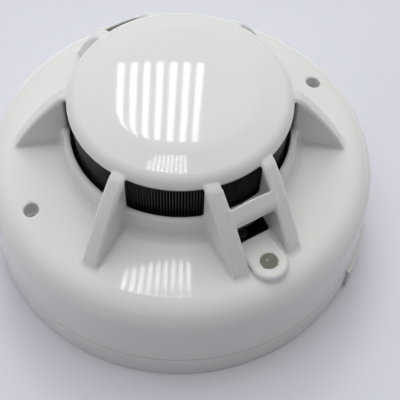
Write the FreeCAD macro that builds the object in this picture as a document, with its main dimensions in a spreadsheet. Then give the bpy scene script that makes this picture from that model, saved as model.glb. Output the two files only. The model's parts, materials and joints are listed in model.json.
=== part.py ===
import FreeCAD, Part
import os
import math
import Sketcher

# Point detector head (optical smoke chamber with a heat sensing bay) on a
# twist-lock mounting base. Millimetres. +Z runs from the ceiling face of the
# base out through the dome; the origin is the centre of the base's back face.
# Azimuths are measured about +Z from +X. The cover repeats after half a turn:
# one sensing bay with its indicator is at -60 degrees, the other at 120.

os.makedirs("parts", exist_ok=True)
doc = FreeCAD.newDocument("detector")
V3 = FreeCAD.Vector

# ---------------------------------------------------------------- dimensions
DIMS = [
    ("base_rad", 50.0), ("base_high", 8.1), ("base_wall", 2.4), ("floor_thk", 2.0),
    ("entry_rad", 10.0), ("entry_rim", 1.6), ("entry_rim_high", 1.6),
    ("slot_pitch", 60.0), ("slot_wide", 4.6), ("slot_run", 8.0),
    ("tab_proud", 0.8), ("tab_high", 7.4), ("tab_from", -30.0), ("tab_sweep", 19.0),
    ("hook_in", 44.4), ("hook_low", 5.5), ("hook_thk", 1.9), ("hook_sweep", 18.0),
    ("lug_sweep", 16.0), ("lug_thk", 1.6), ("lug_low", 3.6), ("lug_out", 47.1),
    ("collar_out", 43.9), ("collar_thk", 1.9),
    ("boss_long", 13.0), ("boss_wide", 9.0), ("boss_top", 4.2), ("boss_dist", 31.0),
    ("seam_z", 8.4), ("skirt_rad", 49.85), ("shoulder_rad", 49.15), ("shoulder_z", 22.3),
    ("shell_thk", 2.0),
    ("cone_out_r", 44.2), ("cone_out_z", 28.95), ("cone_slope", 0.171),
    ("bell_rad", 44.5), ("bell_mid", 12.9), ("bell_foot", 41.31), ("rib_arc", 75.0),
    ("fillet_r", 30.6), ("lip_in", 26.9), ("lip_out", 28.5), ("lip_top", 37.0),
    ("wall_foot_r", 29.1), ("wall_foot_z", 33.8),
    ("dome_edge_r", 26.6), ("dome_edge_z", 46.4), ("dome_rim_r", 26.35), ("dome_rim_z", 48.0), ("dome_side_r", 26.7), ("dome_side_z", 47.3),
    ("dome_band_r", 24.24), ("dome_band_z", 49.62), ("dome_flat_r", 19.9), ("dome_flat_z", 50.61),
    ("dome_mid_r", 17.3), ("dome_mid_z", 51.0), ("dome_top", 51.62),
    ("dome_thk", 2.0), ("crest_r", 28.6), ("crest_rad", 5.0),
    ("rib_thk", 4.0), ("bay_half", 5.1),
    ("bay_az", -60.0), ("bay_floor", 33.1), ("bar_in", 31.0), ("bar_out", 33.5), ("bar_low", 38.6),
    ("pad_top", 31.0), ("pad_rad", 4.5), ("pad_mid", 40.4), ("pad_low", 28.2),
    ("lens_rad", 1.97), ("lens_hole", 2.0),
    ("well_r", 40.8), ("well_hole", 1.8), ("well_out", 3.4), ("well_low", 15.9),
    ("plate_low", 8.7), ("plate_thk", 2.0), ("plate_rad", 47.3),
    ("pcb_low", 13.7), ("pcb_thk", 1.6), ("pcb_rad", 45.6),
    ("screen_rad", 26.0), ("screen_thk", 1.0), ("screen_low", 19.9), ("screen_top", 46.2),
    ("screen_slots", 200), ("slot_gap", 0.42),
    ("chamber_low", 17.4), ("chamber_thk", 2.5), ("vane_top", 44.3),
    ("vane_count", 14), ("lid_low", 44.7), ("lid_thk", 1.5), ("lid_rad", 24.8),
    ("screw_rad", 1.5), ("terminal_r", 34.0),
]
sheet = doc.addObject("Spreadsheet::Sheet", "Sheet")
for i, (alias, val) in enumerate(DIMS):
    sheet.set("A%d" % (i + 1), alias)
    sheet.set("B%d" % (i + 1), repr(val))
    sheet.setAlias("B%d" % (i + 1), alias)
doc.recompute()


class Q(object):
    """A number that remembers the sheet expression it came from."""

    def __init__(self, v, e=None):
        self.v = float(v)
        self.e = e if e is not None else repr(float(v))

    def _o(self, o, f, s):
        o = o if isinstance(o, Q) else Q(o)
        return Q(f(self.v, o.v), "(%s %s %s)" % (self.e, s, o.e))

    def __add__(self, o): return self._o(o, lambda a, b: a + b, "+")
    def __sub__(self, o): return self._o(o, lambda a, b: a - b, "-")
    def __mul__(self, o): return self._o(o, lambda a, b: a * b, "*")
    def __truediv__(self, o): return self._o(o, lambda a, b: a / b, "/")
    def __radd__(self, o): return Q(o)._o(self, lambda a, b: a + b, "+")
    def __rsub__(self, o): return Q(o)._o(self, lambda a, b: a - b, "-")
    def __rmul__(self, o): return Q(o)._o(self, lambda a, b: a * b, "*")


D = dict((a, Q(getattr(sheet, a), "Sheet." + a)) for a, _ in DIMS)
N = dict((a, float(getattr(sheet, a))) for a, _ in DIMS)


def q(x):
    return x if isinstance(x, Q) else Q(x)


def bind(obj, **kw):
    for k, x in kw.items():
        x = q(x)
        setattr(obj, k, x.v)
        if "Sheet." in x.e:
            obj.setExpression(k, x.e)
    return obj


def place(obj, x=0.0, y=0.0, z=0.0, az=0.0):
    """Placement with its numbers bound to the sheet where they come from it."""
    x, y, z, az = q(x), q(y), q(z), q(az)
    obj.Placement = FreeCAD.Placement(V3(x.v, y.v, z.v), FreeCAD.Rotation(V3(0, 0, 1), az.v))
    for path, val in (("Placement.Base.x", x), ("Placement.Base.y", y), ("Placement.Base.z", z)):
        if "Sheet." in val.e:
            obj.setExpression(path, val.e)
    if "Sheet." in az.e:
        obj.setExpression("Placement.Rotation.Angle", az.e)
    return obj


# ------------------------------------------------------------ shape builders
def plane_of(body, role):
    for f in body.Origin.OriginFeatures:
        if f.Role == role:
            return f
    raise RuntimeError(role)


def profile(body, name, verts, role="XZ_Plane"):
    """Closed sketch. Each vertex is (x, y) or (x, y, r): r is the radius of the
    arc to the next vertex, positive when it turns left, negative right."""
    sk = body.newObject("Sketcher::SketchObject", name)
    sk.AttachmentSupport = [(plane_of(body, role), "")]
    sk.MapMode = "FlatFace"
    pts = [(q(a[0]), q(a[1])) for a in verts]
    arcs = [q(a[2]) if len(a) > 2 else None for a in verts]
    n = len(pts)
    ends = []
    for i in range(n):
        p = V3(pts[i][0].v, pts[i][1].v, 0)
        w = V3(pts[(i + 1) % n][0].v, pts[(i + 1) % n][1].v, 0)
        if arcs[i] is None:
            sk.addGeometry(Part.LineSegment(p, w), False)
            ends.append((1, 2))
        else:
            r = arcs[i].v
            ch = w.sub(p)
            half = ch.Length / 2.0
            hgt = math.sqrt(max(r * r - half * half, 0.0))
            left = V3(-ch.y, ch.x, 0)
            left.normalize()
            c = p.add(w).multiply(0.5).add(left.multiply(hgt if r > 0 else -hgt))
            a0 = math.atan2(p.y - c.y, p.x - c.x)
            a1 = math.atan2(w.y - c.y, w.x - c.x)
            circ = Part.Circle(c, V3(0, 0, 1), abs(r))
            if r > 0:
                while a1 < a0:
                    a1 += 2 * math.pi
                sk.addGeometry(Part.ArcOfCircle(circ, a0, a1), False)
                ends.append((1, 2))
            else:
                while a0 < a1:
                    a0 += 2 * math.pi
                sk.addGeometry(Part.ArcOfCircle(circ, a1, a0), False)
                ends.append((2, 1))
    cons = []
    exprs = []
    for i in range(n):
        j = (i + 1) % n
        cons.append(Sketcher.Constraint("Coincident", i, ends[i][1], j, ends[j][0]))
    for i in range(n):
        for kind, val in (("DistanceX", pts[i][0]), ("DistanceY", pts[i][1])):
            if abs(val.v) < 1e-9:
                on = -2 if kind == "DistanceX" else -1
                cons.append(Sketcher.Constraint("PointOnObject", i, ends[i][0], on))
            else:
                if "Sheet." in val.e:
                    exprs.append((len(cons), val.e))
                cons.append(Sketcher.Constraint(kind, -1, 1, i, ends[i][0], val.v))
        if arcs[i] is not None:
            r = arcs[i]
            if "Sheet." in r.e:
                e = r.e if r.v > 0 else "(-1 * %s)" % r.e
                exprs.append((len(cons), e))
            cons.append(Sketcher.Constraint("Radius", i, abs(r.v)))
    sk.addConstraint(cons)
    for k, e in exprs:
        sk.setExpression("Constraints[%d]" % k, e)
    return sk


def new_body(name):
    b = doc.addObject("PartDesign::Body", name)
    b.Label = name
    return b


def revolve(body, name, verts, angle=360.0):
    sk = profile(body, name + "_profile", verts)
    f = body.newObject("PartDesign::Revolution", name)
    f.Profile = sk
    f.ReferenceAxis = (sk, ["V_Axis"])
    f.Angle = angle
    sk.Visibility = False
    return f


def groove(body, name, verts, angle=360.0):
    sk = profile(body, name + "_profile", verts)
    f = body.newObject("PartDesign::Groove", name)
    f.Profile = sk
    f.ReferenceAxis = (sk, ["V_Axis"])
    f.Angle = angle
    return f


def pad(body, name, verts, length, role="XY_Plane"):
    sk = profile(body, name + "_profile", verts, role)
    f = body.newObject("PartDesign::Pad", name)
    f.Profile = sk
    bind(f, Length=length)
    return f


def box(name, lx, ly, lz):
    return bind(doc.addObject("Part::Box", name), Length=lx, Width=ly, Height=lz)


def cyl(name, r, hgt, angle=360.0):
    return bind(doc.addObject("Part::Cylinder", name), Radius=r, Height=hgt, Angle=angle)


def fuse(name, objs):
    f = doc.addObject("Part::MultiFuse", name)
    f.Shapes = objs
    return f


def cut(name, base, tool):
    f = doc.addObject("Part::Cut", name)
    f.Base = base
    f.Tool = tool
    return f


def common(name, a, b):
    f = doc.addObject("Part::Common", name)
    f.Base = a
    f.Tool = b
    return f


def ring(name, r_in, r_out, z_low, hgt, az=0.0, sweep=360.0):
    """Flat ring, or an arc of one, as outer cylinder less inner cylinder."""
    o = place(cyl(name + "_o", r_out, hgt, sweep), 0, 0, z_low, az)
    i = place(cyl(name + "_i", r_in, q(hgt) + 2.0, 360.0), 0, 0, q(z_low) - 1.0, 0)
    return cut(name, o, i)


def az_box(name, s0, s1, w0, w1, z0, z1, az):
    """Box from s0 to s1 outward along azimuth az, w0 to w1 across it."""
    s0, s1, w0, w1, z0, z1, az = [q(a) for a in (s0, s1, w0, w1, z0, z1, az)]
    b = box(name, s1 - s0, w1 - w0, z1 - z0)
    ca, sa = math.cos(math.radians(az.v)), math.sin(math.radians(az.v))
    b.Placement = FreeCAD.Placement(
        V3(s0.v * ca - w0.v * sa, s0.v * sa + w0.v * ca, z0.v),
        FreeCAD.Rotation(V3(0, 0, 1), az.v))
    e = "(%s * cos(%s * 1deg) - %s * sin(%s * 1deg))" % (s0.e, az.e, w0.e, az.e)
    g = "(%s * sin(%s * 1deg) + %s * cos(%s * 1deg))" % (s0.e, az.e, w0.e, az.e)
    if "Sheet." in e:
        b.setExpression("Placement.Base.x", e)
        b.setExpression("Placement.Base.y", g)
    if "Sheet." in z0.e:
        b.setExpression("Placement.Base.z", z0.e)
    if "Sheet." in az.e:
        b.setExpression("Placement.Rotation.Angle", az.e)
    return b


def spot(obj, s, w, z, az):
    """Moves an object to s along azimuth az and w across it, at height z."""
    ca, sa = math.cos(math.radians(az)), math.sin(math.radians(az))
    obj.Placement = FreeCAD.Placement(V3(s * ca - w * sa, s * sa + w * ca, z),
                                      FreeCAD.Rotation(V3(0, 0, 1), az))
    return obj


nodes = []


def node(name, obj):
    obj.Label = name
    nodes.append(obj)
    return obj


def group(name, shapes):
    """Several identical or related solids that share one node."""
    f = doc.addObject("Part::Feature", name)
    f.Shape = Part.makeCompound(shapes)
    f.Placement = FreeCAD.Placement()
    return node(name, f)


def moved(shape, s=0.0, w=0.0, z=0.0, az=0.0, spin=0.0):
    ca, sa = math.cos(math.radians(az)), math.sin(math.radians(az))
    sh = shape.copy()
    sh.Placement = FreeCAD.Placement(
        V3(s * ca - w * sa, s * sa + w * ca, z),
        FreeCAD.Rotation(V3(0, 0, 1), az + spin)).multiply(sh.Placement)
    return sh


def solid_box(lx, ly, lz, z=0.0):
    return Part.makeBox(lx, ly, lz, V3(-lx / 2.0, -ly / 2.0, z))


def solid_cyl(r, hgt, z=0.0, x=0.0, y=0.0):
    return Part.makeCylinder(r, hgt, V3(x, y, z), V3(0, 0, 1))


TERM_AZ = (52.0, 128.0, 232.0, 308.0)
HOOK_AZ = (20.0, 110.0, 200.0, 290.0)
RIVET_AZ = (52.0, 128.0, 232.0, 308.0)

# ------------------------------------------------------------- mounting base
b = new_body("base_dish")
revolve(b, "base_dish_turn", [
    (D["entry_rad"], 0), (D["base_rad"] - 0.5, 0), (D["base_rad"], 0.5),
    (D["base_rad"], D["base_high"] - 0.4), (D["base_rad"] - 0.4, D["base_high"]),
    (D["base_rad"] - D["base_wall"], D["base_high"]),
    (D["base_rad"] - D["base_wall"], D["floor_thk"]),
    (D["entry_rad"] + D["entry_rim"], D["floor_thk"]),
    (D["entry_rad"] + D["entry_rim"], D["floor_thk"] + D["entry_rim_high"]),
    (D["entry_rad"], D["floor_thk"] + D["entry_rim_high"])])
adds = [b]
# four inward bayonet hooks high on the wall, each with an end stop below it
for k, a in enumerate(HOOK_AZ):
    adds.append(ring("hook%d" % k, D["hook_in"], D["base_rad"] - D["base_wall"] + 0.4,
                     D["hook_low"], D["hook_thk"], Q(a) - D["hook_sweep"] / 2.0, D["hook_sweep"]))
    adds.append(ring("stop%d" % k, D["hook_in"] + 0.4, D["base_rad"] - D["base_wall"] + 0.4,
                     D["floor_thk"] - 0.2, D["hook_low"] + D["hook_thk"] - D["floor_thk"] + 0.2,
                     Q(a) - D["hook_sweep"] / 2.0 - 2.4, 3.0))
# terminal bosses on the floor
for k, a in enumerate(TERM_AZ):
    adds.append(az_box("boss%d" % k, D["boss_dist"] - D["boss_long"] / 2.0,
                       D["boss_dist"] + D["boss_long"] / 2.0,
                       D["boss_wide"] * -0.5, D["boss_wide"] * 0.5,
                       D["floor_thk"] - 0.2, D["boss_top"], a))
# raised grip and release tab on the outer wall
adds.append(ring("grip_tab", D["base_rad"] - 1.2, D["base_rad"] + D["tab_proud"], 0.0, D["tab_high"],
                 D["tab_from"], D["tab_sweep"]))
raw = fuse("base_raw", adds)
cuts = []
for k, sgn in enumerate((1.0, -1.0)):
    mid = D["slot_pitch"] * 0.5 * sgn
    cuts.append(place(box("slot_mid%d" % k, D["slot_run"], D["slot_wide"], 6.0),
                      mid - D["slot_run"] * 0.5, D["slot_wide"] * -0.5, -1.0))
    for j, e in enumerate((0.5, -0.5)):
        cuts.append(place(cyl("slot_end%d%d" % (k, j), D["slot_wide"] * 0.5, 6.0),
                          mid + D["slot_run"] * e, 0, -1.0))
for k, a in enumerate(TERM_AZ):
    c = cyl("boss_hole%d" % k, D["screw_rad"] + 0.08, 3.4)
    cuts.append(spot(c, N["terminal_r"], 0, 1.0, a))
# relief slit at the end of the release tab
cuts.append(ring("tab_slit", D["base_rad"] - 1.5, D["base_rad"] + 3.0, 1.2, D["base_high"],
                 D["tab_from"] - 1.4, 1.4))
node("mounting_base", cut("base_cut", raw, fuse("base_cuts", cuts)))

# ------------------------------------------------- base terminals (four ways)
z0 = N["boss_top"]
plate = solid_box(11.0, 6.6, 0.8, 0).translated(V3(-0.6, 0, 0))
plate = plate.fuse(Part.makeBox(0.8, 5.0, 1.6, V3(-6.1, -2.5, 0)))
plate = plate.fuse(Part.makeBox(5.2, 5.0, 0.6, V3(-10.5, -2.5, 1.0)))
plate = plate.cut(solid_cyl(N["screw_rad"] + 0.1, 3.0, -1.0, N["terminal_r"] - N["boss_dist"], 0)).removeSplitter()
group("base_terminal_plates", [moved(plate, N["boss_dist"], 0, z0, a) for a in TERM_AZ])
wash = solid_box(6.4, 6.4, 0.7, 0).cut(solid_cyl(N["screw_rad"] + 0.1, 3.0, -1.0))
wash = wash.makeFillet(0.8, [e for e in wash.Edges if abs(e.Length - 0.7) < 1e-3 and len(e.Vertexes) == 2 and e.Curve.TypeId == "Part::GeomLine" and abs(e.Vertexes[0].X) > 3])
group("base_clamp_washers", [moved(wash, N["terminal_r"], 0, z0 + 0.8, a) for a in TERM_AZ])
scr = solid_cyl(N["screw_rad"], 4.4, -2.9)
head = solid_cyl(2.9, 1.7, 1.5)
head = head.makeFillet(0.6, [e for e in head.Edges if abs(e.BoundBox.ZMin - 3.2) < 1e-3 and abs(e.BoundBox.ZMax - 3.2) < 1e-3])
scr = scr.fuse(head).cut(Part.makeBox(4.2, 0.7, 1.2, V3(-2.1, -0.35, 2.3))).cut(Part.makeBox(0.7, 4.2, 1.2, V3(-0.35, -2.1, 2.3)))
group("base_terminal_screws", [moved(scr, N["terminal_r"], 0, z0, a, 30.0 + 17.0 * k) for k, a in enumerate(TERM_AZ)])

# -------------------------------------------------------------- outer cover
cone = lambda r: D["cone_out_z"] + (D["cone_out_r"] - r) * D["cone_slope"]
bell = lambda r: math.sqrt(N["bell_rad"] ** 2 - r ** 2) + N["bell_mid"]
bell_e = lambda r: Q(bell(r.v), "(sqrt(%s ^ 2 - %s ^ 2) + %s)" % (D["bell_rad"].e, r.e, D["bell_mid"].e))
foot = D["bell_foot"]
rim = D["dome_rim_r"]
t = D["shell_thk"]
rise = D["dome_top"] - D["dome_mid_z"]
crown = (D["dome_mid_r"] * D["dome_mid_r"] + rise * rise) / (rise * 2.0)
blank = new_body("cover_blank")
revolve(blank, "cover_blank_turn", [
    (D["skirt_rad"] - 0.3, D["seam_z"]), (D["skirt_rad"], D["seam_z"] + 0.3),
    (D["shoulder_rad"], D["shoulder_z"], 6.9),
    (D["cone_out_r"] - 1.2, cone(D["cone_out_r"] - 1.2)),
    (foot, bell_e(foot), D["rib_arc"]),
    (D["crest_r"], bell_e(D["crest_r"]), D["crest_rad"]),
    (rim, D["dome_rim_z"], 3.2),
    (D["dome_band_r"], D["dome_band_z"]),
    (D["dome_flat_r"], D["dome_flat_z"], 17.4),
    (D["dome_mid_r"], D["dome_mid_z"], crown),
    (0, D["dome_top"]),
    (0, D["dome_top"] - D["dome_thk"], crown * -1.0),
    (D["dome_mid_r"], D["dome_mid_z"] - D["dome_thk"]),
    (D["dome_edge_r"] - 4.6, D["dome_edge_z"] + 1.8),
    (D["dome_edge_r"] - 2.2, D["dome_edge_z"] + 0.6),
    (D["dome_edge_r"] - 2.2, D["dome_edge_z"] - 0.05),
    (D["lip_in"], D["dome_edge_z"] - 0.05),
    (D["lip_in"], cone(D["lip_in"]) - t),
    (D["cone_out_r"] - 1.5, cone(D["cone_out_r"] - 1.5) - t),
    (D["shoulder_rad"] - t, D["shoulder_z"] - 0.6),
    (D["skirt_rad"] - t, D["seam_z"])])
# the recess between the dome and the sloping shell
rec = new_body("recess_ring")
air = D["dome_edge_z"] + 16.0
revolve(rec, "recess_turn", [
    (D["lip_in"] - 1.5, D["lip_top"]), (D["lip_out"] - 0.45, D["lip_top"]), (D["lip_out"], D["lip_top"] - 0.45),
    (D["wall_foot_r"], D["wall_foot_z"], 3.2),
    (D["fillet_r"] + 0.4, cone(D["fillet_r"] + 0.4)),
    (foot, bell_e(foot)), (foot + 9.0, 36.0), (foot + 9.0, air), (rim + 6.0, air),
    (rim, D["dome_rim_z"]), (D["dome_side_r"], D["dome_side_z"]), (D["dome_edge_r"], D["dome_edge_z"]), (D["lip_in"] - 1.5, D["dome_edge_z"])])
keep = []
half = D["rib_thk"] * 0.5
BAYS = (("a", D["bay_az"]), ("b", D["bay_az"] + 180.0))
# four plain ribs, and a pair of ribs at each side of the two bays
for k, az in enumerate((D["bay_az"] * 2.0, Q(0.0), D["bay_az"] * -1.0, Q(180.0))):
    keep.append(az_box("rib%d" % k, 20, 60, half * -1.0, half, 20, 70, az))
for n, az in BAYS:
    keep.append(az_box("rib_bay_l" + n, 20, 60, (D["bay_half"] + D["rib_thk"]) * -1.0, D["bay_half"] * -1.0, 20, 70, az))
    keep.append(az_box("rib_bay_r" + n, 20, 60, D["bay_half"], D["bay_half"] + D["rib_thk"], 20, 70, az))
    # guard bar across the bay, flush with the bell
    keep.append(az_box("guard_bar_" + n, D["bar_in"], D["bar_out"], -6.0, 6.0, D["bar_low"], 70, az))
win = cut("windows", rec, fuse("keepers", keep))
# the bays have no lip: their floor is open down into the head
deep = [az_box("bay_deep_" + n, D["lip_in"] - 2.0, D["bay_floor"], D["bay_half"] * -1.0, D["bay_half"], 22.0, D["bar_low"], az)
        for n, az in BAYS]
shell = cut("cover_windows", blank, fuse("cover_cuts", [win] + deep))


def tongue(name, az):
    """Indicator pad: a flat tongue with a round end, standing on the slope."""
    body = new_body(name)
    p0 = pad(body, name + "_pad", [
        (D["bay_floor"], 20.0), (D["pad_mid"], 20.0, D["pad_rad"]), (D["pad_mid"] + D["pad_rad"], Q(20.0) + D["pad_rad"], D["pad_rad"]),
        (D["pad_mid"], Q(20.0) + D["pad_rad"] * 2.0), (D["bay_floor"], Q(20.0) + D["pad_rad"] * 2.0)],
        D["pad_top"] - D["pad_low"])
    doc.recompute()
    fil = body.newObject("PartDesign::Fillet", name + "_round")
    edges = []
    for i, e in enumerate(p0.Shape.Edges):
        bb = e.BoundBox
        if abs(bb.ZMin - bb.ZMax) < 1e-4 and bb.ZMin > 1.0 and not (bb.XMax - N["bay_floor"] < 1e-3):
            edges.append("Edge%d" % (i + 1))
    fil.Base = (p0, edges)
    fil.Radius = 0.9
    body.Tip = fil
    ca, sa = math.cos(math.radians(az.v)), math.sin(math.radians(az.v))
    off = 20.0 + N["pad_rad"]
    body.Placement = FreeCAD.Placement(V3(off * sa, -off * ca, N["pad_low"]), FreeCAD.Rotation(V3(0, 0, 1), az.v))
    return body


pads = [tongue("lens_pad_" + n, az) for n, az in BAYS]
# wells for the two cover screws
wells = []
for k, a in enumerate((30.0, -150.0)):
    w = cyl("well%d" % k, D["well_out"], D["cone_out_z"] - D["well_low"] - 0.4)
    wells.append(spot(w, N["well_r"], 0, N["well_low"], a))
body2 = fuse("cover_body", [shell] + pads + wells)
holes = []
for k, a in enumerate((30.0, -150.0)):
    holes.append(spot(cyl("well_bore%d" % k, D["well_hole"], 40.0), N["well_r"], 0, N["well_low"] + 2.4, a))
    holes.append(spot(cyl("well_eye%d" % k, 1.25, 10.0), N["well_r"], 0, N["well_low"] - 1.0, a))
for n, az in BAYS:
    holes.append(spot(cyl("lens_hole_" + n, D["lens_hole"], 20.0), N["pad_mid"], 0, 20.0, az.v))
node("outer_cover", cut("cover_cut", body2, fuse("cover_holes", holes)))

# ------------------------------------------------------------ head back plate
hp = new_body("plate_disc")
pl, pt, pr = D["plate_low"], D["plate_thk"], D["plate_rad"]
revolve(hp, "plate_disc_turn", [
    (4.0, pl), (D["collar_out"] - D["collar_thk"], pl),
    (D["collar_out"] - D["collar_thk"], D["lug_low"]), (D["collar_out"], D["lug_low"]), (D["collar_out"], pl),
    (pr, pl), (pr, pl + pt), (4.0, pl + pt)])
adds = [hp]
for k, a in enumerate(HOOK_AZ):
    adds.append(ring("lug%d" % k, D["collar_out"] - 0.6, D["lug_out"], D["lug_low"], D["lug_thk"],
                     Q(a) - D["lug_sweep"] / 2.0, D["lug_sweep"]))
POST_AZ = (78.0, 198.0, 330.0)
for k, a in enumerate(POST_AZ):
    adds.append(spot(cyl("post%d" % k, 2.8, D["pcb_low"] - D["plate_low"] - D["plate_thk"] + 0.2), 32.0, 0, N["plate_low"] + N["plate_thk"] - 0.2, a))
for k, a in enumerate((30.0, -150.0)):
    adds.append(spot(cyl("screw_post%d" % k, 3.2, D["well_low"] - D["plate_low"] - D["plate_thk"] + 0.1), N["well_r"], 0, N["plate_low"] + N["plate_thk"] - 0.2, a))
raw = fuse("plate_raw", adds)
cuts = []
for k, a in enumerate(RIVET_AZ):
    cuts.append(spot(cyl("rivet_hole%d" % k, 1.3, 6.0), 21.0, 0, N["plate_low"] - 2.0, a))
for k, a in enumerate(POST_AZ):
    cuts.append(spot(cyl("post_hole%d" % k, 1.05, 6.0), 32.0, 0, N["plate_low"] + 0.6, a))
for k, a in enumerate((30.0, -150.0)):
    cuts.append(spot(cyl("screw_hole%d" % k, 1.2, 8.0), N["well_r"], 0, N["plate_low"] + 0.6, a))
node("head_plate", cut("plate_cut", raw, fuse("plate_cuts", cuts)))
node("dust_seal_ring", ring("seal", 44.2, 46.9, D["plate_low"] + D["plate_thk"], 1.2))

# --------------------------------------------------- head contacts and rivets
zc = N["plate_low"]
blade = Part.makeBox(9.0, 5.4, 0.6, V3(-2.6, -2.7, -0.6))
blade = blade.fuse(Part.makeBox(0.6, 5.4, 1.5, V3(5.8, -2.7, -1.5)))
blade = blade.fuse(Part.makeBox(3.0, 5.4, 0.5, V3(3.4, -2.7, -1.5)))
blade = blade.cut(solid_cyl(1.3, 3.0, -2.0)).removeSplitter()
group("contact_blades", [moved(blade, 21.0, 0, zc, a) for a in RIVET_AZ])
rv = solid_cyl(1.25, N["pcb_low"] - zc + 0.7, -0.7)
rv = rv.fuse(solid_cyl(2.1, 0.5, -1.1)).removeSplitter()
group("contact_rivets", [moved(rv, 21.0, 0, zc, a) for a in RIVET_AZ])
node("rating_label", place(ring("label", 4.6, 15.0, 0.0, 0.15), 0, 0, D["plate_low"] - 0.15))

# ---------------------------------------------------------------- circuit board
pc = place(cyl("board_disc", D["pcb_rad"], D["pcb_thk"]), 0, 0, D["pcb_low"])
cuts = []
for k, a in enumerate(POST_AZ):
    cuts.append(spot(cyl("board_hole%d" % k, 1.3, 6.0), 32.0, 0, N["pcb_low"] - 2.0, a))
for k, a in enumerate((30.0, -150.0)):
    cuts.append(spot(cyl("board_notch%d" % k, 3.9, 6.0), N["well_r"], 0, N["pcb_low"] - 2.0, a))
node("circuit_board", cut("board_cut", pc, fuse("board_cuts", cuts)))
zt = N["pcb_low"] + N["pcb_thk"]
ps = solid_cyl(1.0, 5.2, -4.4)
ph = solid_cyl(2.2, 1.4, 0.0)
ph = ph.makeFillet(0.5, [e for e in ph.Edges if abs(e.BoundBox.ZMin - 1.4) < 1e-3])
ps = ps.fuse(ph).cut(Part.makeBox(3.0, 0.6, 1.0, V3(-1.5, -0.3, 0.8))).cut(Part.makeBox(0.6, 3.0, 1.0, V3(-0.3, -1.5, 0.8)))
group("board_screws", [moved(ps, 32.0, 0, zt, a, 25.0) for a in POST_AZ])
# chips and small parts round the chamber
chip = solid_box(9.8, 6.4, 1.5, 0.2)
node_chip = group("microcontroller", [moved(chip, 34.5, 0, zt, 104.0, 90.0)])
legs = []
for i in range(8):
    for sg in (-1, 1):
        leg = Part.makeBox(0.5, 1.2, 0.35, V3(-4.6 + i * 1.25, -0.6, 0.0)).translated(V3(0, sg * 3.8, 0))
        legs.append(moved(leg, 34.5, 0, zt, 104.0, 90.0))
group("microcontroller_legs", legs)
can = solid_cyl(3.15, 7.4, 0.6)
can = can.makeFillet(0.5, [e for e in can.Edges if abs(e.BoundBox.ZMin - 8.0) < 1e-3])
group("electrolytic_capacitors", [moved(can, 37.0, 0, zt, a) for a in (-20.0, 152.0)])
foot_blk = solid_box(6.8, 6.8, 0.6, 0.0)
group("capacitor_feet", [moved(foot_blk, 37.0, 0, zt, a) for a in (-20.0, 152.0)])
res = solid_box(3.2, 1.6, 0.55, 0.0)
group("chip_resistors", [moved(res, r, 0, zt, a, s) for r, a, s in (
    (31, 60, 0), (34, 60, 0), (37, 66, 90), (31, 140, 0), (34, 136, 90), (32, 222, 0), (36, 224, 90),
    (31, 236, 0), (36, 262, 0), (33, 270, 90), (33, 8, 0), (37, 5, 90))])
cer = solid_box(2.0, 1.25, 1.1, 0.0)
group("ceramic_capacitors", [moved(cer, r, 0, zt, a, s) for r, a, s in (
    (39, 88, 0), (39, 130, 0), (36, 170, 90), (33, 176, 0), (38, 240, 0), (34, 252, 90), (38, 18, 0))])
dio = solid_box(4.4, 2.7, 2.1, 0.0)
group("rectifier_diodes", [moved(dio, r, 0, zt, a, 0) for r, a in ((39, 186), (39, 193), (39, 200), (33.5, 187))])
mov = Part.makeCylinder(3.6, 3.0, V3(0, -1.5, 4.4), V3(0, 1, 0))
group("surge_suppressor", [moved(mov, 38.0, 0, zt, 276.0, 0)])

# --------------------------------------------------------------- smoke chamber
node("chamber_gasket", ring("gasket", 20.5, 24.8, zt, D["chamber_low"] - D["pcb_low"] - D["pcb_thk"]))
cb = new_body("chamber_floor")
revolve(cb, "chamber_floor_turn", [
    (0, D["chamber_low"]), (D["screen_rad"], D["chamber_low"]), (D["screen_rad"], D["chamber_low"] + D["chamber_thk"]),
    (0, D["chamber_low"] + D["chamber_thk"])])
vanes = [cb]
zf = D["chamber_low"] + D["chamber_thk"] - 0.2
for k in range(int(N["vane_count"])):
    a = 360.0 / N["vane_count"] * k + 9.0
    v1 = bind(doc.addObject("Part::Box", "vane%d" % k), Length=7.0, Width=1.0, Height=D["vane_top"] - zf)
    p0 = V3(17.2 * math.cos(math.radians(a)), 17.2 * math.sin(math.radians(a)), zf.v)
    v1.Placement = FreeCAD.Placement(p0, FreeCAD.Rotation(V3(0, 0, 1), a + 38.0))
    vanes.append(v1)
raw = fuse("chamber_raw", vanes)
node("chamber_base", raw)
lid = new_body("chamber_lid")
revolve(lid, "chamber_lid_turn", [
    (0, D["lid_low"]), (D["lid_rad"] - 1.2, D["lid_low"]), (D["lid_rad"], D["lid_low"] + 0.4),
    (D["lid_rad"], D["lid_low"] + D["lid_thk"]), (0, D["lid_low"] + D["lid_thk"])])
node("chamber_lid", lid)
# fine upright bars of the insect screen, joined by a hoop at each end
tube = ring("screen_tube", D["screen_rad"] - D["screen_thk"], D["screen_rad"], D["screen_low"], D["screen_top"] - D["screen_low"])
doc.recompute()
ns = int(N["screen_slots"])
slot = Part.makeBox(3.0, N["slot_gap"], N["screen_top"] - N["screen_low"] - 3.2,
                    V3(N["screen_rad"] - 2.0, -N["slot_gap"] / 2.0, N["screen_low"] + 1.6))
slots = []
for k in range(ns):
    s = slot.copy()
    s.rotate(V3(0, 0, 0), V3(0, 0, 1), 360.0 * k / ns)
    slots.append(s)
scr_f = doc.addObject("Part::Feature", "screen_bars")
scr_f.Shape = tube.Shape.cut(Part.makeCompound(slots))
scr_f.Placement = FreeCAD.Placement()
node("insect_screen", scr_f)
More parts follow.
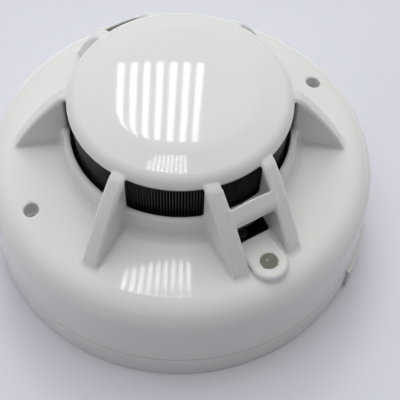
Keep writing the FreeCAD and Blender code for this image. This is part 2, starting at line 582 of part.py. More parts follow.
# optics: emitter and receiver look at each other across the middle at an angle
zb = N["chamber_low"] + N["chamber_thk"]
blk = solid_box(8.4, 8.0, 8.6, 0.0)
bore = Part.makeCylinder(2.62, 12.0, V3(-6.0, 0, 4.4), V3(1, 0, 0))
hold = blk.cut(bore)
group("optic_holders", [moved(hold, 10.5, 0, zb, 150.0), moved(hold, 10.5, 0, zb, 30.0)])
led5 = Part.makeCylinder(2.5, 5.2, V3(-1.4, 0, 4.4), V3(1, 0, 0))
led5 = led5.fuse(Part.makeSphere(2.5, V3(-1.4, 0, 4.4))).removeSplitter()
group("infrared_emitter", [moved(led5, 10.5, 0, zb, 150.0)])
group("photodiode", [moved(led5, 10.5, 0, zb, 30.0)])
shd = solid_box(9.6, 9.2, 9.2, 0.0).cut(solid_box(8.6, 8.2, 8.7, -0.1)).cut(Part.makeCylinder(2.8, 8.0, V3(-8.0, 0, 4.4), V3(1, 0, 0)))
group("photodiode_shield", [moved(shd, 10.5, 0, zb, 30.0)])

# ------------------------------------------------------ indicator and heat bead
led3 = solid_cyl(1.5, 3.4, 0.9).fuse(Part.makeSphere(1.5, V3(0, 0, 4.3))).fuse(solid_cyl(1.85, 0.9, 0.0)).removeSplitter()
BAY_AZ = [az.v for n, az in BAYS]
group("indicator_led", [moved(led3, N["pad_mid"], 0, zt, a) for a in BAY_AZ])
lens_rise = Q(0.45)
lens_arc = (D["lens_rad"] * D["lens_rad"] + lens_rise * lens_rise) / (lens_rise * 2.0)
lenses = []
for n, az in BAYS:
    lz = new_body("lens_turn_" + n)
    revolve(lz, "lens_turn_%s_turn" % n, [
        (0, 21.6), (D["lens_rad"], 21.6), (D["lens_rad"], 24.6), (D["lens_rad"] + 0.7, 24.6), (D["lens_rad"] + 0.7, 25.6),
        (D["lens_rad"], 25.6), (D["lens_rad"], D["pad_top"] - 0.35, lens_arc), (0, D["pad_top"] - 0.35 + lens_rise)])
    spot(lz, N["pad_mid"], 0, 0, az.v)
    lenses.append(lz)
node("indicator_lens", fuse("lens_pair", lenses))
bead = Part.makeSphere(1.25, V3(0, 0, 37.4)).fuse(solid_cyl(1.25, 1.2, 36.2)).fuse(
    Part.makeCone(0.85, 1.25, 1.2, V3(0, 0, 35.0))).removeSplitter()
group("thermistor_bead", [moved(bead, 29.0, 0, 0, a) for a in BAY_AZ])
leads = []
for a in BAY_AZ:
    for w in (-0.5, 0.5):
        top = solid_cyl(0.22, 8.0, 27.0)
        leads.append(moved(top, 29.0, w, 0, a))
sleeve = solid_cyl(1.5, 27.0 - zt, zt)
group("thermistor_leads", leads)
group("thermistor_sleeve", [moved(sleeve, 29.0, 0, 0, a) for a in BAY_AZ])

# ---------------------------------------------------------------- cover screws
ch = solid_cyl(1.68, 1.6, 2.4)
cs = solid_cyl(1.15, 8.8, -6.4).fuse(ch).cut(Part.makeBox(2.4, 0.5, 1.0, V3(-1.2, -0.25, 3.2))).cut(Part.makeBox(0.5, 2.4, 1.0, V3(-0.25, -1.2, 3.2)))
cs = cs.removeSplitter()
group("cover_screws", [moved(cs, N["well_r"], 0, N["well_low"], a, 40.0) for a in (30.0, -150.0)])

# ------------------------------------------------------------------- write out
doc.recompute()
bad = []
for o in doc.Objects:
    if any(s in ("Invalid", "Error") for s in o.State):
        bad.append((o.Name, o.State))
if bad:
    raise SystemExit("failed objects: %s" % bad)
names = set()
for o in nodes:
    sh = o.Shape
    if sh.isNull() or not sh.isValid():
        raise SystemExit("bad shape: %s" % o.Label)
    if o.Label in names:
        raise SystemExit("label used twice: %s" % o.Label)
    names.add(o.Label)
    print("%-26s solids %3d volume %10.2f" % (o.Label, len(sh.Solids), sh.Volume),
          "z %.2f..%.2f" % (sh.BoundBox.ZMin, sh.BoundBox.ZMax))
for o in nodes:
    o.Shape.exportStep("parts/%s.step" % o.Label)
print(len(nodes), "nodes written")
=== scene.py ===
import json
import math
import bpy
import bmesh
import numpy as np
from mathutils import Matrix, Vector


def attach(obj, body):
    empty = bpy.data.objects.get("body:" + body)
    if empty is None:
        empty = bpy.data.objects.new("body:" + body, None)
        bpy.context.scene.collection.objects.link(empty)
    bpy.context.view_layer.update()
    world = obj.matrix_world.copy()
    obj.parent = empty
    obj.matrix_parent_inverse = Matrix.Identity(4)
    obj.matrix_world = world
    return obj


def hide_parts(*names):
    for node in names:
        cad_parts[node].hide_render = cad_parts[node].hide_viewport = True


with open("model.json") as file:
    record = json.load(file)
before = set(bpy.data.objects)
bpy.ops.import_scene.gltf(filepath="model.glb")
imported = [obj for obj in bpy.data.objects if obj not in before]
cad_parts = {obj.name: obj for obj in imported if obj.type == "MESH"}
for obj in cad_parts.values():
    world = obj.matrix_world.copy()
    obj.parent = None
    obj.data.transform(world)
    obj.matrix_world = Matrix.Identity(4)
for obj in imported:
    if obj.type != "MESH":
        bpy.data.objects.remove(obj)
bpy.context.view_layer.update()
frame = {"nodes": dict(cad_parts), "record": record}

scene = bpy.context.scene
MM = 0.001

# ------------------------------------------------------------------ camera
CAM_POS = Vector((-0.12962, -123.25041, 189.46508)) * MM
CAM_X = Vector((0.99966874, -0.01029741, 0.02358778)).normalized()
CAM_Y = Vector((-0.00441263, 0.83433231, 0.55124416)).normalized()
CAM_Z = CAM_X.cross(CAM_Y).normalized()
CAM_Y = CAM_Z.cross(CAM_X).normalized()
cam_data = bpy.data.cameras.new("camera")
cam = bpy.data.objects.new("camera", cam_data)
scene.collection.objects.link(cam)
rot = Matrix((CAM_X, CAM_Y, CAM_Z)).transposed().to_4x4()
cam.matrix_world = Matrix.Translation(CAM_POS) @ rot
cam_data.sensor_width = 36.0
cam_data.lens = 799.2 / 400.0 * 36.0
cam_data.clip_start = 0.005
cam_data.clip_end = 20.0
scene.camera = cam
scene.view_settings.view_transform = "Standard"
scene.view_settings.look = "None"


# --------------------------------------------------------------- materials
def new_mat(name):
    m = bpy.data.materials.new(name)
    m.use_nodes = True
    nt = m.node_tree
    nt.nodes.clear()
    out = nt.nodes.new("ShaderNodeOutputMaterial")
    bsdf = nt.nodes.new("ShaderNodeBsdfPrincipled")
    nt.links.new(bsdf.outputs["BSDF"], out.inputs["Surface"])
    return m, nt, bsdf


def coords(nt, scale=1.0):
    tc = nt.nodes.new("ShaderNodeTexCoord")
    mp = nt.nodes.new("ShaderNodeMapping")
    mp.inputs["Scale"].default_value = (scale, scale, scale)
    nt.links.new(tc.outputs["Object"], mp.inputs["Vector"])
    return mp.outputs["Vector"]


def noise(nt, vec, scale, detail=3.0, rough=0.5):
    n = nt.nodes.new("ShaderNodeTexNoise")
    n.inputs["Scale"].default_value = scale
    n.inputs["Detail"].default_value = detail
    n.inputs["Roughness"].default_value = rough
    nt.links.new(vec, n.inputs["Vector"])
    return n.outputs["Fac"]


def ramp(nt, fac, stops):
    r = nt.nodes.new("ShaderNodeValToRGB")
    el = r.color_ramp.elements
    while len(el) > 1:
        el.remove(el[-1])
    el[0].position = stops[0][0]
    el[0].color = stops[0][1]
    for p, c in stops[1:]:
        e = el.new(p)
        e.color = c
    nt.links.new(fac, r.inputs["Fac"])
    return r.outputs["Color"]


def bump(nt, bsdf, height, strength, distance):
    b = nt.nodes.new("ShaderNodeBump")
    b.inputs["Strength"].default_value = strength
    b.inputs["Distance"].default_value = distance
    nt.links.new(height, b.inputs["Height"])
    nt.links.new(b.outputs["Normal"], bsdf.inputs["Normal"])
    return b


def rgb(c, k=1.0):
    return (c[0] * k, c[1] * k, c[2] * k, 1.0)


def plastic(name, col, rough, vary=0.02, bump_scale=900.0, bump_strength=0.05, bump_dist=0.00002,
            coat=0.0, spec=0.5, sss=0.0, rough_vary=0.03, wave=0.0):
    m, nt, b = new_mat(name)
    v = coords(nt)
    broad = noise(nt, v, 38.0, 3.0, 0.55)
    c = ramp(nt, broad, [(0.25, rgb(col, 1.0 - vary)), (0.75, rgb(col, 1.0 + vary))])
    nt.links.new(c, b.inputs["Base Color"])
    fine = noise(nt, v, bump_scale, 2.0, 0.5)
    rr = ramp(nt, noise(nt, v, 160.0, 3.0, 0.6), [(0.2, (rough - rough_vary,) * 3 + (1.0,)), (0.8, (rough + rough_vary,) * 3 + (1.0,))])
    nt.links.new(rr, b.inputs["Roughness"])
    b.inputs["Specular IOR Level"].default_value = spec
    b.inputs["Coat Weight"].default_value = coat
    b.inputs["Coat Roughness"].default_value = 0.05
    if sss:
        b.inputs["Subsurface Weight"].default_value = sss
        b.inputs["Subsurface Radius"].default_value = (0.0016, 0.0014, 0.0012)
        b.inputs["Subsurface Scale"].default_value = 1.0
    bump(nt, b, fine, bump_strength, bump_dist)
    if wave:
        # slow waviness of a moulded face
        slow = nt.nodes.new("ShaderNodeBump")
        slow.inputs["Strength"].default_value = 1.0
        slow.inputs["Distance"].default_value = wave
        nt.links.new(noise(nt, v, 95.0, 1.0, 0.4), slow.inputs["Height"])
        nt.links.new(slow.outputs["Normal"], b.inputs["Normal"].links[0].from_node.inputs["Normal"])
    return m


def metal(name, col, rough, scale=400.0, strength=0.1):
    m, nt, b = new_mat(name)
    v = coords(nt)
    n = noise(nt, v, scale, 4.0, 0.6)
    c = ramp(nt, n, [(0.2, rgb(col, 0.88)), (0.8, rgb(col, 1.06))])
    nt.links.new(c, b.inputs["Base Color"])
    b.inputs["Metallic"].default_value = 1.0
    rr = ramp(nt, n, [(0.2, (rough * 0.8,) * 3 + (1.0,)), (0.8, (rough * 1.25,) * 3 + (1.0,))])
    nt.links.new(rr, b.inputs["Roughness"])
    bump(nt, b, n, strength, 0.00003)
    return m


WHITE = (0.78, 0.78, 0.765)
MATS = {
    "cover_white": plastic("cover_white", WHITE, 0.05, 0.012, 700.0, 0.03, 0.00001, rough_vary=0.015, wave=0.00001),
    "base_white": plastic("base_white", (0.76, 0.76, 0.745), 0.3, 0.012, 1200.0, 0.08, 0.00002),
    "plate_white": plastic("plate_white", (0.74, 0.74, 0.72), 0.42, 0.02, 1600.0, 0.15, 0.00002),
    "contact_brass": metal("contact_brass", (0.80, 0.62, 0.30), 0.3),
    "screw_steel": metal("screw_steel", (0.60, 0.60, 0.59), 0.34),
    "screw_brass": metal("screw_brass", (0.32, 0.17, 0.09), 0.45),
    "seal_rubber": plastic("seal_rubber", (0.018, 0.018, 0.018), 0.8, 0.2, 2500.0, 0.5, 0.00008, spec=0.3),
    "label_paper": plastic("label_paper", (0.78, 0.78, 0.76), 0.6, 0.02, 3000.0, 0.2, 0.00001),
    # painted shade: the board's green is darkened to near black to stand in for the shade of the cavity it sits in
    "board_green": plastic("board_green", (0.008, 0.045, 0.022), 0.32, 0.15, 900.0, 0.1, 0.00002),
    "chip_black": plastic("chip_black", (0.022, 0.022, 0.024), 0.5, 0.1, 3000.0, 0.2, 0.00001),
    "tinned_metal": metal("tinned_metal", (0.62, 0.62, 0.60), 0.28),
    "capacitor_can": metal("capacitor_can", (0.72, 0.72, 0.74), 0.25),
    "capacitor_ceramic": plastic("capacitor_ceramic", (0.42, 0.30, 0.17), 0.55, 0.08, 2500.0, 0.2, 0.00001),
    "suppressor_blue": plastic("suppressor_blue", (0.03, 0.11, 0.38), 0.3, 0.1, 1500.0, 0.3, 0.00003),
    "chamber_black": plastic("chamber_black", (0.012, 0.012, 0.012), 0.5, 0.1, 1800.0, 0.2, 0.00002),
    "screen_black": plastic("screen_black", (0.048, 0.048, 0.050), 0.38, 0.1, 1800.0, 0.1, 0.00001),
    "emitter_blue": plastic("emitter_blue", (0.05, 0.07, 0.22), 0.12, 0.05, 900.0, 0.02, 0.00001),
    "photodiode_dark": plastic("photodiode_dark", (0.02, 0.018, 0.03), 0.12, 0.05, 900.0, 0.02, 0.00001),
    "led_red": plastic("led_red", (0.5, 0.02, 0.015), 0.2, 0.05, 900.0, 0.02, 0.00001),
    "lens_clear": plastic("lens_clear", (0.21, 0.22, 0.175), 0.12, 0.06, 900.0, 0.02, 0.00001, coat=0.5),
    "bead_black": plastic("bead_black", (0.02, 0.02, 0.02), 0.22, 0.1, 1500.0, 0.2, 0.00002),
    # painted shade: the sleeve is near black, not grey, to stand in for the shade of the cavity around it
    "sleeve_grey": plastic("sleeve_grey", (0.03, 0.03, 0.03), 0.55, 0.1, 1500.0, 0.2, 0.00002),
}

slots = dict((s["node"], s["material_slot"]) for s in frame["record"]["subparts"])
for name, node in frame["nodes"].items():
    ob = node if isinstance(node, bpy.types.Object) else bpy.data.objects[name]
    m = MATS.get(slots.get(name))
    if m is not None:
        if not ob.material_slots:
            ob.data.materials.append(m)
        for ms in ob.material_slots:
            ms.material = m

# ------------------------------------------------------- outer cover moulding
# One implicit surface: revolved shell and dome, radial ribs, guard bars, pads
# and wells, joined with small moulded radii. All lengths here are millimetres.
def polyline(verts, step=0.35):
    """Closed outline from (x, y[, r]) vertices; r is the radius of the arc to the next vertex, positive turning left."""
    out = []
    n = len(verts)
    for i in range(n):
        a, c = verts[i], verts[(i + 1) % n]
        out.append((a[0], a[1]))
        if len(a) == 3:
            r = a[2]
            dx, dy = c[0] - a[0], c[1] - a[1]
            ch = math.hypot(dx, dy)
            h = math.sqrt(max(r * r - ch * ch / 4.0, 0.0)) * (1.0 if r > 0 else -1.0)
            mx, my = (a[0] + c[0]) / 2.0 - dy / ch * h, (a[1] + c[1]) / 2.0 + dx / ch * h
            t0 = math.atan2(a[1] - my, a[0] - mx)
            t1 = math.atan2(c[1] - my, c[0] - mx)
            d = t1 - t0
            while r > 0 and d < 0:
                d += 2 * math.pi
            while r < 0 and d > 0:
                d -= 2 * math.pi
            m = max(2, int(abs(d * r) / step) + 1)
            m = max(m, int(abs(d) / 0.16) + 1)
            for k in range(1, m):
                t = t0 + d * k / m
                out.append((mx + abs(r) * math.cos(t), my + abs(r) * math.sin(t)))
    return np.array(out)


class Outline:
    """Signed distance to a closed outline, kept on a fine grid."""

    def __init__(self, verts, x0, x1, y0, y1, h=0.125):
        pts = polyline(verts)
        nx, ny = int((x1 - x0) / h) + 2, int((y1 - y0) / h) + 2
        X, Y = np.meshgrid(x0 + h * np.arange(nx), y0 + h * np.arange(ny), indexing="ij")
        d2 = np.full(X.shape, 1e9)
        ins = np.zeros(X.shape, bool)
        for i in range(len(pts)):
            a, c = pts[i], pts[(i + 1) % len(pts)]
            ex, ey = c[0] - a[0], c[1] - a[1]
            wx, wy = X - a[0], Y - a[1]
            t = np.clip((wx * ex + wy * ey) / (ex * ex + ey * ey), 0.0, 1.0)
            d2 = np.minimum(d2, (wx - ex * t) ** 2 + (wy - ey * t) ** 2)
            if a[1] != c[1]:
                lo, hi = min(a[1], c[1]), max(a[1], c[1])
                row = (Y[0] >= lo) & (Y[0] < hi)
                xi = a[0] + (Y[:, row] - a[1]) * ex / ey
                ins[:, row] ^= X[:, row] < xi
        self.v = np.where(ins, -1.0, 1.0) * np.sqrt(d2)
        self.x0, self.y0, self.h, self.nx, self.ny = x0, y0, h, nx, ny

    def __call__(self, x, y):
        fx = np.clip((x - self.x0) / self.h, 0, self.nx - 1.001)
        fy = np.clip((y - self.y0) / self.h, 0, self.ny - 1.001)
        i, j = fx.astype(np.int32), fy.astype(np.int32)
        fx, fy = fx - i, fy - j
        v = self.v
        return ((v[i, j] * (1 - fx) + v[i + 1, j] * fx) * (1 - fy)
                + (v[i, j + 1] * (1 - fx) + v[i + 1, j + 1] * fx) * fy)


def both(a, b, r):
    """Intersection with its edge rounded to radius r."""
    return np.minimum(-r, np.maximum(a, b)) + np.hypot(np.maximum(r + a, 0), np.maximum(r + b, 0))


def either(a, b, r):
    """Union with its inner corner filled to radius r."""
    return np.maximum(r, np.minimum(a, b)) - np.hypot(np.maximum(r - a, 0), np.maximum(r - b, 0))


def cone_z(r):
    return 28.95 + (44.2 - r) * 0.148


SHELL = Outline([
    (49.30, 8.42), (49.38, 8.42, 0.45), (49.83, 8.87), (49.15, 22.3, 6.9), (43.0, cone_z(43.0)), (31.0, cone_z(31.0), -3.2),
    (29.1, 33.8), (28.5, 36.5, 0.5), (28.0, 37.0), (27.4, 37.0, 0.5), (26.9, 36.5), (26.9, 28.3), (29.05, 28.3), (29.1, cone_z(29.1) - 2.0),
    (42.7, cone_z(42.7) - 2.0, 5.2), (47.15, 21.7), (47.85, 8.42)], 20.0, 54.0, 4.0, 42.0)
# crown, shallow band and rolled rim
CROWN = 241.7
dome_side = [
    (24.4, 46.45), (26.3, 46.45, 0.35), (26.63, 46.82), (26.66, 47.2, 1.4), (26.35, 48.0, 3.2), (24.24, 49.62),
    (19.9, 50.61, 17.4), (17.3, 51.0, CROWN), (0.0, 51.61, CROWN)]
DOME = Outline(dome_side + [
    (-17.3, 51.0, 17.4), (-19.9, 50.61), (-24.24, 49.62, 3.2), (-26.35, 48.0, 1.4), (-26.66, 47.2), (-26.63, 46.82, 0.35), (-26.3, 46.45),
    (-24.4, 46.45), (-24.4, 47.0), (-22.0, 48.2), (-17.3, 49.0, -CROWN), (0.0, 49.62, -CROWN), (17.3, 49.0), (22.0, 48.2), (24.4, 47.0)],
    -2.0, 54.0, 26.0, 56.0)
RIBS = Outline([
    (27.0, 31.0), (41.85, 28.41), (41.31, 29.44, 75.0), (28.6, 46.99, 5.0), (26.35, 47.98), (25.2, 47.8), (25.2, 46.6), (27.0, 46.6)],
    20.0, 54.0, 24.0, 54.0)
C60, S60 = math.cos(math.radians(60.0)), math.sin(math.radians(60.0))


def cover_field(x, y, z):
    r = np.hypot(x, y)
    u = np.abs(x * C60 - y * S60)            # along the two bays
    w = x * S60 + y * C60
    slab = np.minimum(np.abs(y), np.abs(x * S60 - y * C60)) - 2.0
    slab = np.minimum(slab, np.abs(np.abs(w) - 7.1) - 2.0)
    prof = RIBS(r, z)
    edge = np.clip(1.0 - (r - 27.0) * 0.035, 0.5, 1.0)
    ribs = both(slab, prof, edge)
    bar = np.maximum(both(both(np.abs(u - 32.25) - 1.25, 38.6 - z, 0.4), prof, 0.5), np.abs(w) - 6.0)
    ribs = either(ribs, bar, 0.45)
    bay = np.maximum(np.maximum(np.abs(w) - 6.0, u - 33.1), np.maximum(22.0 - z, 29.1 - r))
    shell = both(SHELL(r, z), -bay, 0.35)
    s = either(shell, ribs, 0.75)
    tongue = np.where(u < 40.4, np.abs(w), np.hypot(u - 40.4, w)) - 4.5
    pad = both(both(tongue, 33.1 - u, 0.3), z - 31.0, 0.8)
    pad = np.maximum(pad, 28.2 - z)
    s = either(s, pad, 0.5)
    hole = np.hypot(u - 40.4, w) - 2.0
    s = both(s, -hole, 0.22)
    # wells, at right angles to the bays
    a = np.abs(w) - 40.8
    b = x * C60 - y * S60
    rho = np.hypot(a, b)
    boss = np.maximum(np.maximum(rho - 3.4, z - 28.4), 15.9 - z)
    s = np.minimum(s, boss)
    well = np.maximum(rho - 1.8, 25.4 - z)
    s = both(s, -well, 0.4)
    s = np.maximum(s, 1.25 - rho)
    return either(s, DOME(r, z), 0.3)


def cover_grad(p, e=0.03):
    x, y, z = p[:, 0], p[:, 1], p[:, 2]
    return np.stack([cover_field(x + e, y, z) - cover_field(x - e, y, z),
                     cover_field(x, y + e, z) - cover_field(x, y - e, z),
                     cover_field(x, y, z + e) - cover_field(x, y, z - e)], axis=1) / (2 * e)


def cover_mesh():
    rs = np.concatenate([np.arange(0.0, 23.5, 1.0), np.arange(23.9, 46.3, 0.5), np.arange(46.7, 50.6, 0.55)])
    zs = np.concatenate([[7.9, 8.2, 8.5, 8.8, 9.2, 9.9], np.arange(11.0, 21.5, 1.6), np.arange(21.6, 27.9, 0.6), np.arange(28.15, 53.4, 0.5)])
    n = 344
    ph = (np.arange(n) + 0.5) * 2 * math.pi / n
    nr, nz = len(rs), len(zs)
    half = n // 2
    R, P, Z = np.meshgrid(rs, ph[:half], zs, indexing="ij")
    v = cover_field(R * np.cos(P), R * np.sin(P), Z)
    v = np.concatenate([v, v], axis=1)
    v[0] = v[0, :1]
    v = np.where(np.abs(v) < 1e-7, 1e-7, v)
    s = v < 0
    sj = np.roll(s, -1, axis=1)
    cnt = np.zeros((nr - 1, n, nz - 1), np.int8)
    for q in (s, sj):
        for di in (0, 1):
            for dk in (0, 1):
                cnt += q[di:nr - 1 + di, :, dk:nz - 1 + dk]
    act = (cnt > 0) & (cnt < 8)
    ci, cj, ck = np.nonzero(act)
    idx = np.full(act.shape, -1, np.int64)
    idx[act] = np.arange(len(ci))
    cj1 = (cj + 1) % n
    dph = 2 * math.pi / n
    corner = {}
    for a in (0, 1):
        for b in (0, 1):
            for c in (0, 1):
                corner[a, b, c] = v[ci + a, cj1 if b else cj, ck + c]
    acc = np.zeros((len(ci), 3))
    num = np.zeros(len(ci))
    for axis in range(3):
        for p in (0, 1):
            for q in (0, 1):
                c0, c1 = [p, q], [p, q]
                c0.insert(axis, 0)
                c1.insert(axis, 1)
                f0, f1 = corner[tuple(c0)], corner[tuple(c1)]
                hit = (f0 < 0) != (f1 < 0)
                t = np.where(hit, f0 / np.where(hit, f0 - f1, 1.0), 0.0)
                for ax in range(3):
                    acc[:, ax] += np.where(hit, t if ax == axis else float(c0[ax]), 0.0)
                num += hit
    acc /= num[:, None]
    rr = rs[ci] + acc[:, 0] * (rs[ci + 1] - rs[ci])
    pp = ph[cj] + acc[:, 1] * dph
    zz = zs[ck] + acc[:, 2] * (zs[ck + 1] - zs[ck])
    pts = np.stack([rr * np.cos(pp), rr * np.sin(pp), zz], axis=1)
    quads = []

    def add(a, b, c, d, flip):
        q = np.stack([a, b, c, d], axis=1)
        q[flip] = q[flip][:, ::-1]
        quads.append(q)

    ii, jj, kk = np.nonzero(s[:-1, :, 1:-1] != s[1:, :, 1:-1])
    kk = kk + 1
    jm = (jj - 1) % n
    add(idx[ii, jm, kk - 1], idx[ii, jj, kk - 1], idx[ii, jj, kk], idx[ii, jm, kk], ~s[ii, jj, kk])
    ii, jj, kk = np.nonzero(s[1:-1, :, 1:-1] != sj[1:-1, :, 1:-1])
    ii, kk = ii + 1, kk + 1
    add(idx[ii - 1, jj, kk - 1], idx[ii - 1, jj, kk], idx[ii, jj, kk], idx[ii, jj, kk - 1], ~s[ii, jj, kk])
    ii, jj, kk = np.nonzero(s[1:-1, :, :-1] != s[1:-1, :, 1:])
    ii = ii + 1
    jm = (jj - 1) % n
    add(idx[ii - 1, jm, kk], idx[ii, jm, kk], idx[ii, jj, kk], idx[ii - 1, jj, kk], ~s[ii, jj, kk])
    quads = np.concatenate(quads)
    assert quads.min() >= 0
    tris, poles = [], []
    for k in np.nonzero(s[0, 0, :-1] != s[0, 0, 1:])[0]:
        t = v[0, 0, k] / (v[0, 0, k] - v[0, 0, k + 1])
        c = len(pts) + len(poles)
        poles.append((0.0, 0.0, zs[k] + t * (zs[k + 1] - zs[k])))
        a = idx[0, np.arange(n), k]
        b = np.roll(a, -1)
        tri = np.stack([a, b, np.full(n, c)], axis=1)
        tris.append(tri if s[0, 0, k] else tri[:, ::-1])
    pts = np.concatenate([pts, np.array(poles)])

    for it in range(3):
        g = cover_grad(pts)
        f = cover_field(pts[:, 0], pts[:, 1], pts[:, 2])
        m = np.maximum((g ** 2).sum(axis=1), 0.25)
        step = np.clip(f / m, -0.3, 0.3)
        pts = pts - g * step[:, None]
        pts[-len(poles):, :2] = 0.0
    g = cover_grad(pts)
    nrm = g / np.maximum(np.linalg.norm(g, axis=1), 1e-6)[:, None]
    return pts, quads, np.concatenate(tris), nrm


# ------------------------------------------------------- pieces in mesh code
def new_object(name, me, body, node, slot_name):
    ob = bpy.data.objects.new(name, me)
    scene.collection.objects.link(ob)
    me.materials.append(MATS[slot_name])
    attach(ob, body)
    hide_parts(node)
    return ob


def build_cover():
    pts, quads, tris, nrm = cover_mesh()
    me = bpy.data.meshes.new("cover_raw")
    nq, nt = len(quads), len(tris)
    me.vertices.add(len(pts))
    me.vertices.foreach_set("co", (pts * MM).ravel())
    me.loops.add(nq * 4 + nt * 3)
    me.loops.foreach_set("vertex_index", np.concatenate([quads.ravel(), tris.ravel()]))
    me.polygons.add(nq + nt)
    me.polygons.foreach_set("loop_start", np.concatenate([np.arange(nq) * 4, nq * 4 + np.arange(nt) * 3]))
    me.update(calc_edges=True)
    me.validate()
    # the inner side of the moulding needs far fewer faces; it is put in a vertex group for a collapse decimate,
    # left at ratio 1.0, which removes none
    raw = bpy.data.objects.new("cover_raw", me)
    scene.collection.objects.link(raw)
    r = np.hypot(pts[:, 0], pts[:, 1])
    inner = (nrm[:, 2] < -0.2) | ((nrm[:, 0] * pts[:, 0] + nrm[:, 1] * pts[:, 1] < 0) & (pts[:, 2] < 27.0))
    inner &= ~((r > 24.2) & (pts[:, 2] > 29.8)) & (pts[:, 2] > 9.2) & (r > 4.4)
    vg = raw.vertex_groups.new(name="inner")
    vg.add(np.nonzero(inner)[0].tolist(), 1.0, "REPLACE")
    dec = raw.modifiers.new("thin", "DECIMATE")
    dec.decimate_type = "COLLAPSE"
    dec.vertex_group = "inner"
    dec.ratio = 1.0
    dg = bpy.context.evaluated_depsgraph_get()
    out = bpy.data.meshes.new_from_object(raw.evaluated_get(dg))
    bpy.data.objects.remove(raw)
    bpy.data.meshes.remove(me)
    out.name = "cover_moulding"
    co = np.empty(len(out.vertices) * 3)
    out.vertices.foreach_get("co", co)
    p = co.reshape(-1, 3) / MM
    g = cover_grad(p)
    g /= np.maximum(np.linalg.norm(g, axis=1), 1e-6)[:, None]
    out.polygons.foreach_set("use_smooth", np.ones(len(out.polygons), bool))
    out.normals_split_custom_set_from_vertices(g.tolist())
    return new_object("cover_moulding", out, "head", "outer_cover", "cover_white")


def build_screen():
    """Fine upright fins with rounded noses, held by a hoop at each end."""
    bm = bmesh.new()
    n, lo, hi = 240, 19.95, 46.15
    sec = [(25.05, -0.15), (25.6, -0.17), (25.86, -0.13), (25.97, -0.05), (25.97, 0.05), (25.86, 0.13), (25.6, 0.17), (25.05, 0.15)]
    for k in range(n):
        t = 2 * math.pi * (k + 0.5) / n
        c, s = math.cos(t), math.sin(t)
        rings = []
        for z in (lo + 0.4, hi - 0.4):
            rings.append([bm.verts.new(((a * c - b * s) * MM, (a * s + b * c) * MM, z * MM)) for a, b in sec])
        m = len(sec)
        for i in range(m):
            bm.faces.new((rings[0][i], rings[0][(i + 1) % m], rings[1][(i + 1) % m], rings[1][i]))
        bm.faces.new(rings[0][::-1])
        bm.faces.new(rings[1])
    for za, zb in ((lo, lo + 1.6), (hi - 1.1, hi), (32.6, 33.0)):
        seg = 180
        prof = [(25.02, za), (25.72, za), (25.8, za + 0.08), (25.8, zb - 0.08), (25.72, zb), (25.02, zb)]
        vs = [[bm.verts.new((a * math.cos(2 * math.pi * k / seg) * MM, a * math.sin(2 * math.pi * k / seg) * MM, z * MM))
               for a, z in prof] for k in range(seg)]
        for k in range(seg):
            k2 = (k + 1) % seg
            for i in range(len(prof)):
                j = (i + 1) % len(prof)
                bm.faces.new((vs[k][i], vs[k2][i], vs[k2][j], vs[k][j]))
    bmesh.ops.recalc_face_normals(bm, faces=bm.faces)
    me = bpy.data.meshes.new("screen_fins")
    bm.to_mesh(me)
    bm.free()
    me.polygons.foreach_set("use_smooth", np.ones(len(me.polygons), bool))
    me.set_sharp_from_angle(angle=math.radians(50))
    return new_object("screen_fins", me, "head", "insect_screen", "screen_black")


build_cover()
build_screen()

# ------------------------------------------------------------------- floor
bm = bmesh.new()
bmesh.ops.create_grid(bm, x_segments=1, y_segments=1, size=3.0)
me = bpy.data.meshes.new("floor")
bm.to_mesh(me)
bm.free()
floor = bpy.data.objects.new("floor", me)
scene.collection.objects.link(floor)
fm, nt, b = new_mat("floor_pale")
v = coords(nt)
c = ramp(nt, noise(nt, v, 6.0, 2.0, 0.5), [(0.3, (0.70, 0.71, 0.78, 1)), (0.7, (0.715, 0.725, 0.79, 1))])
nt.links.new(c, b.inputs["Base Color"])
b.inputs["Roughness"].default_value = 0.55
b.inputs["Specular IOR Level"].default_value = 0.3
bump(nt, b, noise(nt, v, 1500.0, 2.0, 0.5), 0.05, 0.00003)
me.materials.append(fm)

# ------------------------------------------------------------------ lights
world = bpy.data.worlds.new("world")
scene.world = world
world.use_nodes = True
bg = world.node_tree.nodes["Background"]
bg.inputs["Color"].default_value = (0.92, 0.94, 1.0, 1)
bg.inputs["Strength"].default_value = 0.02


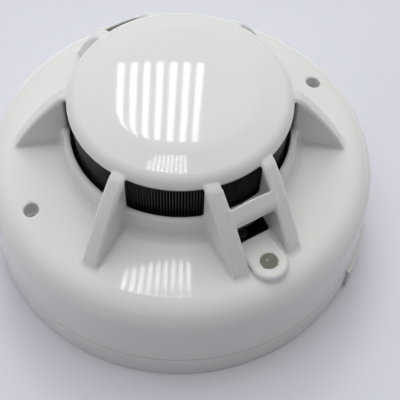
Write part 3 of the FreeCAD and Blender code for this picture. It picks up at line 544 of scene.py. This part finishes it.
def area(name, loc, target, sx, sy, power, col=(1, 1, 1)):
    """A broad diffuse source, too soft to show its own outline in the gloss."""
    ld = bpy.data.lights.new(name, "AREA")
    ld.shape = "RECTANGLE"
    ld.size = sx
    ld.size_y = sy
    ld.energy = power
    ld.color = col
    lo = bpy.data.objects.new(name, ld)
    scene.collection.objects.link(lo)
    lo.location = loc
    d = Vector(target) - Vector(loc)
    lo.rotation_euler = d.to_track_quat("-Z", "Y").to_euler()
    lo.visible_glossy = False
    return lo


def strips(name, direction, dist, wide, long, count, fill, power):
    """A lamp behind a louvre: thin parallel bright strips that run along Y."""
    d = Vector(direction).normalized()
    ez = -d
    ey = (Vector((0, 1, 0)) - ez * ez.y).normalized()
    ex = ey.cross(ez * -1.0).normalized()
    for k in range(count):
        off = (k + 0.5) / count * wide - wide / 2
        ld = bpy.data.lights.new("%s_%d" % (name, k), "AREA")
        ld.shape = "RECTANGLE"
        ld.size = wide / count * fill
        ld.size_y = long
        ld.energy = power / count
        lo = bpy.data.objects.new(ld.name, ld)
        scene.collection.objects.link(lo)
        lo.matrix_world = Matrix.Translation(d * dist + ex * off) @ Matrix((ex, ey, d)).transposed().to_4x4()


area("window_right", (2.2, 0.2, 0.95), (0, 0, 0), 2.0, 2.0, 6.0)
area("ceiling", (0, 0.12, 2.0), (0, 0, 0), 2.6, 2.6, 35.0, (1.0, 0.995, 0.985))
area("window_low", (0, 2.29, 0.72), (0, 0, 0), 2.0, 2.0, 27.0, (0.98, 0.99, 1.0))
area("window_left", (-2.29, 0, 0.72), (0, 0, 0), 2.0, 2.0, 12.5, (0.98, 0.99, 1.0))
area("back_high", (0, 1.7, 1.7), (0, 0, 0), 3.0, 3.0, 3.5)
area("left_high", (-1.7, 0, 1.7), (0, 0, 0), 3.0, 3.0, 2.7)
strips("louvre_back", (-0.060, 0.591, 0.804), 1.2, 0.303, 0.356, 7, 0.48, 1.4)
strips("louvre_top", (-0.066, 0.160, 0.985), 1.2, 0.25, 0.05, 9, 0.5, 0.175)
